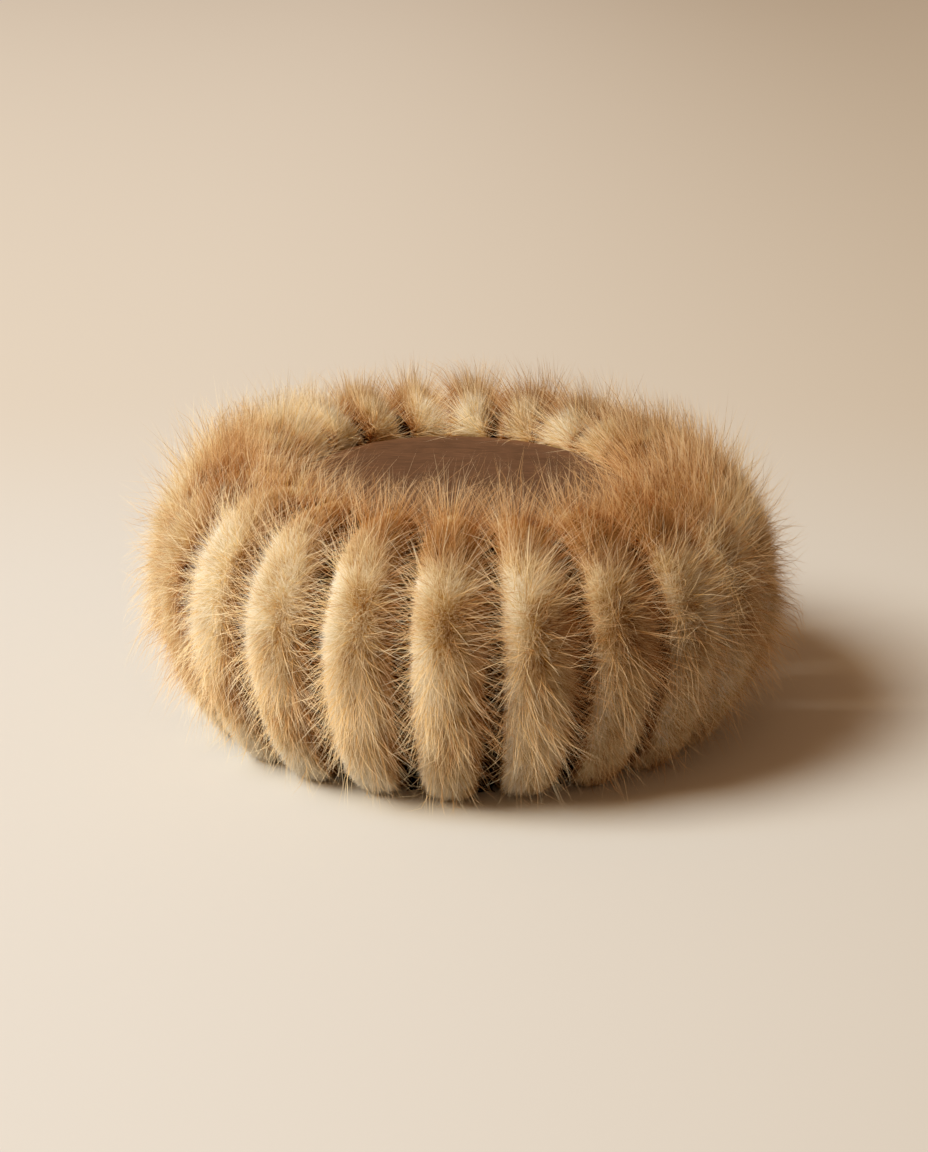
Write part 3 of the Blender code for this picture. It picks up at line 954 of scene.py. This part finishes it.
def turned_form(name, profile, sides, shape):
    """A closed profile of (radius, height) turned round the Z axis, eased by shape. Radius 0 is one point."""
    turns = np.linspace(0, 2 * math.pi, sides, endpoint=False)
    rings, points = [], []
    total = 0
    for radius, height in profile:
        count = 1 if radius == 0 else sides
        angle = turns[:count]
        points.append(np.stack((radius * np.cos(angle), radius * np.sin(angle), np.full(count, height)), -1))
        rings.append(total + np.arange(sides) % count)
        total += count
    pairs = list(zip(rings, rings[1:]))
    if profile[0][0] > 0:
        pairs.append((rings[-1], rings[0]))
    faces = []
    for low, high in pairs:
        corners = np.stack((low, np.roll(low, -1), np.roll(high, -1), high), -1)
        faces += [list(dict.fromkeys(face)) for face in corners.tolist()]
    mesh = bpy.data.meshes.new(name)
    mesh.from_pydata(slump(shape(np.concatenate(points))).tolist(), [], faces)
    form = bmesh.new()
    form.from_mesh(mesh)
    bmesh.ops.recalc_face_normals(form, faces=form.faces)
    form.to_mesh(mesh)
    form.free()
    mesh.shade_smooth()
    return bpy.data.objects.new(name, mesh)


def around(points):
    """(radius, turn) of each point about the Z axis."""
    return np.linalg.norm(points[:, :2], axis=1), np.arctan2(points[:, 1], points[:, 0])


def bell(values, width):
    """1 at 0, falling softly to nothing over a few widths."""
    return np.exp(-((values / width) ** 2))


def ease_suede(points):
    """Soft dents, the band's edge pressing up from below, and small puckers where the tip turns down."""
    radius, turn = around(points)
    flat = points[:, :2]
    inside = smooth_step(radius, 0.97 * TIP_RADIUS, 0.82 * TIP_RADIUS)
    dents = 0.0012 * (cloud(flat, 0.027, 61) - 0.5) + 0.0005 * (cloud(flat, 0.009, 62) - 0.5)
    ridge = 0.00035 * bell(radius - BAND_RIDGE_RADIUS, 0.0013) * (0.6 + 0.8 * cloud(flat, 0.012, 63))
    pucker = (np.sin(52 * turn) + np.sin(31 * turn + 1.7) + np.sin(83 * turn + 0.6)) / 3
    pucker = pucker * smooth_step(radius, 0.88 * TIP_RADIUS, 0.98 * TIP_RADIUS)
    points[:, 2] += inside * dents + ridge + 0.00022 * pucker
    return points


def tip_profile():
    """(radius, height) round the suede: its top, soft edge and skirt, then back along its underside."""
    shares = np.concatenate(([0], np.linspace(0.04, 1, 44)))
    rise = TIP_CROWN * (1 - shares**2)
    top = [(TIP_FLAT_RADIUS * share, TIP_FLAT_HEIGHT + up) for share, up in zip(shares, rise)]
    edge = [(TIP_FLAT_RADIUS + TIP_EDGE_ROUND * math.cos(turn),
             TIP_FLAT_HEIGHT - TIP_EDGE_ROUND * (1 - math.sin(turn)))
            for turn in np.radians(np.linspace(80, 0, 9))]
    foot_height = TIP_FLAT_HEIGHT - TIP_SKIRT
    foot_radius = band_radius(foot_height) + GAP
    skirt = [(foot_radius + CLOTH, foot_height), (foot_radius, foot_height),
             (BAND_TOP_RADIUS + GAP, BAND_TOP_HEIGHT + GAP)]
    under = [(radius, height - CLOTH) for radius, height in reversed(top[::2])]
    return top + edge + skirt + under


def ease_band(points):
    """Small puckers at the hem's stitches, and the pressed seam at the middle of the back."""
    radius, turn = around(points)
    height = points[:, 2]
    inner = radius < band_radius(height) - CLOTH / 2
    stitch = np.cos(turn * HEM_STITCHES) * bell(height - HEM_STITCH_HEIGHT, 0.0012)
    from_seam = (turn - math.pi / 2) * radius
    seam = 0.0005 * bell(from_seam, 0.0008) - 0.0003 * smooth_step(np.abs(from_seam), 0.0062, 0.0052)
    shift = inner * (0.00012 * (1 - stitch) * (height < HEM_HEIGHT + 0.002) + seam)
    points[:, :2] *= (1 + shift / radius)[:, None]
    return points


def band_profile():
    """(radius, height) round the band's wall: up its outside, down its inside, and round its hem."""
    up_outside = np.linspace(BAND_FOOT_HEIGHT + 0.0008, BAND_TOP_HEIGHT, 9)
    down_inside = np.linspace(BAND_TOP_HEIGHT - 0.001, HEM_HEIGHT + 0.0012, 14)
    down_hem = np.linspace(HEM_HEIGHT - 0.0008, HEM_FOOT, 10)
    fold = ((0.0007, 0.66), (0.0004, 0.84), (0.0, 0.96))
    round_foot = ((0.0005, 0.95), (0.0001, 0.75), (0.0, 0.5), (0.0001, 0.25), (0.0004, 0.06))
    # Heights, and the share of the wall's thickness that each place is in from the outside
    places = [(height, 0) for height in up_outside] + [(BAND_TOP_HEIGHT, HEM_STEP)]
    places += [(height, HEM_STEP) for height in down_inside]
    places += [(HEM_HEIGHT + up, depth) for up, depth in fold]
    places += [(height, 1) for height in down_hem]
    profile = [(band_radius(height) - CLOTH * depth, height) for height, depth in places]
    return profile + [(BAND_FOOT_RADIUS - CLOTH * depth, BAND_FOOT_HEIGHT + up) for up, depth in round_foot]


def hem_stitches():
    """Short stitches in a row round the inside of the hem."""
    along = np.linspace(-1, 1, 7)
    thick = HEM_THREAD / 2 * np.sqrt(np.clip(1 - (0.96 * along) ** 4, 0, 1))
    ring = np.linspace(0, 2 * math.pi, STITCH_SIDES, endpoint=False)
    radius = band_radius(HEM_STITCH_HEIGHT) - CLOTH - 0.00010
    half = HEM_STITCH_LENGTH * math.pi * radius / HEM_STITCHES
    vertices, faces = [], []
    for number in range(HEM_STITCHES):
        turn = 2 * math.pi * (number + 0.5) / HEM_STITCHES
        out = np.array((math.cos(turn), math.sin(turn), 0))
        side = np.array((-math.sin(turn), math.cos(turn), 0))
        lean = 0.00012 * math.sin(2.7 * number)
        start = len(vertices)
        for place, size in zip(along, thick):
            sunk = radius + 0.0003 * place**4 - 0.5 * (place * half) ** 2 / radius
            middle = out * sunk + side * place * half + UPWARD * (HEM_STITCH_HEIGHT + lean * place)
            vertices += [middle + size * (math.cos(angle) * out + math.sin(angle) * UPWARD) for angle in ring]
        last = len(vertices) - STITCH_SIDES
        for row in range(start, last, STITCH_SIDES):
            for step in range(STITCH_SIDES):
                a = row + step
                b = row + (step + 1) % STITCH_SIDES
                faces.append((a, b, b + STITCH_SIDES, a + STITCH_SIDES))
        faces.append(tuple(reversed(range(start, start + STITCH_SIDES))))
        faces.append(tuple(range(last, last + STITCH_SIDES)))
    mesh = bpy.data.meshes.new("hem_stitches")
    mesh.from_pydata(slump(np.array(vertices)).tolist(), [], faces)
    mesh.shade_smooth()
    return bpy.data.objects.new("hem_stitches", mesh)


# Studio

def add_floor(settings):
    turns = np.linspace(0, 2 * math.pi, FLOOR_SIDES, endpoint=False).tolist()
    ring = [(FLOOR_RADIUS * math.cos(turn), FLOOR_RADIUS * math.sin(turn), 0) for turn in turns]
    mesh = bpy.data.meshes.new("studio_floor")
    mesh.from_pydata(ring, [], [list(range(FLOOR_SIDES))])
    mesh.materials.append(floor_material(settings))
    floor = bpy.data.objects.new("studio_floor", mesh)
    bpy.context.scene.collection.objects.link(floor)


def add_lights(settings):
    lamp = bpy.data.lights.new("key_light", "AREA")
    lamp.energy = settings.key_power
    lamp.size = settings.key_size
    lamp.color = (1.0, 1.0, 0.94)
    key = bpy.data.objects.new("key_light", lamp)
    flat = math.cos(KEY_HEIGHT)
    aim = Vector((-flat * math.cos(KEY_SIDE), -flat * math.sin(KEY_SIDE), math.sin(KEY_HEIGHT)))
    key.location = aim * KEY_DISTANCE + Vector((0, 0, KEY_AIM_HEIGHT))
    key.rotation_euler = aim.to_track_quat("Z", "Y").to_euler()
    bpy.context.scene.collection.objects.link(key)
    world = bpy.data.worlds.new("studio_air")
    bpy.context.scene.world = world
    world.use_nodes = True
    tree = world.node_tree
    fill = tree.nodes["Background"]
    feed(tree, fill.inputs["Color"], (*settings.fill, 1))
    seen = add_node(tree, "Background", {"Color": (*settings.backdrop, 1)})
    by_camera = add_node(tree, "LightPath").outputs["Is Camera Ray"]
    output = tree.nodes["World Output"]
    feed(tree, output.inputs["Surface"], mixed_shaders(tree, by_camera, fill.outputs[0], seen.outputs[0]))
    bpy.context.scene.view_settings.view_transform = "Standard"


def add_camera():
    lens = bpy.data.cameras.new("camera")
    lens.lens = CAMERA_LENS
    lens.sensor_width = CAMERA_SENSOR
    lens.clip_start = 0.05
    lens.clip_end = 50
    camera = bpy.data.objects.new("camera", lens)
    camera.location = CAMERA_PLACE
    camera.rotation_euler = (CAMERA_TILT, 0, 0)
    bpy.context.scene.collection.objects.link(camera)
    bpy.context.scene.camera = camera


# Steps

def settle(obj, slot, *nodes):
    """The finished piece rides with the hat and stands for its solids."""
    bpy.context.scene.collection.objects.link(obj)
    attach(obj, "root")
    if nodes:
        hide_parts(*nodes)


class FURHAT_OT_side_band(bpy.types.Operator):
    """Weave the side band, with its hem and stitches"""

    bl_idname = "furhat.side_band"
    bl_label = "Dress Side Band"

    def execute(self, context):
        settings = context.scene.furhat_band
        band = turned_form("woven_side_band", band_profile(), BAND_SIDES, ease_band)
        band.data.materials.append(band_material(settings))
        settle(band, "band_cloth", "side_band")
        stitches = hem_stitches()
        stitches.data.materials.append(thread_material(settings))
        settle(stitches, "band_cloth")
        return {"FINISHED"}


class FURHAT_OT_suede_tip(bpy.types.Operator):
    """Stretch the suede tip over the top of the band"""

    bl_idname = "furhat.suede_tip"
    bl_label = "Dress Suede Tip"

    def execute(self, context):
        tip = turned_form("suede_tip", tip_profile(), TIP_SIDES, ease_suede)
        tip.data.materials.append(suede_material(context.scene.furhat_suede))
        settle(tip, "suede", "crown_tip")
        return {"FINISHED"}


class FURHAT_OT_fur_rolls(bpy.types.Operator):
    """Grow underfur and guard hairs on each of the rolls"""

    bl_idname = "furhat.fur_rolls"
    bl_label = "Grow Fur Rolls"

    def execute(self, context):
        settings = context.scene.furhat_fur
        hair = fur_material(settings, "golden_fur", True)
        underwool = fur_material(settings, "felted_underwool", False)
        for index, node in enumerate(ROLL_NODES):
            roll = Roll(index)
            rng = np.random.default_rng(FIRST_SEED + index)
            parts = [underwool_arrays(roll, settings.pile_depth)]
            parts += [grow(roll, habit, rng, settings) for habit in (PLUSH, AWN, GUARD, SWEEP)]
            mesh = mesh_from_arrays(f"furred_{node}", parts)
            mesh.materials.append(hair)
            mesh.materials.append(underwool)
            kinds = np.zeros(len(mesh.polygons), np.int32)
            kinds[:len(parts[0][1])] = 1
            mesh.polygons.foreach_set("material_index", kinds)
            furred = bpy.data.objects.new(f"furred_{node}", mesh)
            settle(furred, "fur", node)
        return {"FINISHED"}


class FURHAT_OT_studio(bpy.types.Operator):
    """Build the floor, the lights and the camera"""

    bl_idname = "furhat.studio"
    bl_label = "Build Studio"

    def execute(self, context):
        settings = context.scene.furhat_studio
        add_floor(settings)
        add_lights(settings)
        add_camera()
        return {"FINISHED"}


OPERATORS = (FURHAT_OT_side_band, FURHAT_OT_suede_tip, FURHAT_OT_fur_rolls, FURHAT_OT_studio)
SETTINGS = {
    "furhat_fur": FurSettings,
    "furhat_suede": SuedeSettings,
    "furhat_band": BandSettings,
    "furhat_studio": StudioSettings,
}


class FURHAT_PT_panel(bpy.types.Panel):
    """The hat's settings and the steps that dress it"""

    bl_idname = "FURHAT_PT_panel"
    bl_label = "Fur Hat"
    bl_space_type = "VIEW_3D"
    bl_region_type = "UI"
    bl_category = "Fur Hat"

    def draw(self, context):
        layout = self.layout
        for name, group in SETTINGS.items():
            column = layout.column(align=True)
            for key in group.__annotations__:
                column.prop(getattr(context.scene, name), key)
        for operator in OPERATORS:
            layout.operator(operator.bl_idname)


def register():
    for group in SETTINGS.values():
        bpy.utils.register_class(group)
    for name, group in SETTINGS.items():
        setattr(bpy.types.Scene, name, bpy.props.PointerProperty(type=group))
    for kind in OPERATORS + (FURHAT_PT_panel,):
        bpy.utils.register_class(kind)


def unregister():
    for kind in reversed(OPERATORS + (FURHAT_PT_panel,)):
        bpy.utils.unregister_class(kind)
    for name in SETTINGS:
        delattr(bpy.types.Scene, name)
    for group in reversed(list(SETTINGS.values())):
        bpy.utils.unregister_class(group)


def main():
    register()
    bpy.ops.furhat.side_band()
    bpy.ops.furhat.suede_tip()
    bpy.ops.furhat.fur_rolls()
    bpy.ops.furhat.studio()


if __name__ == "__main__":
    main()
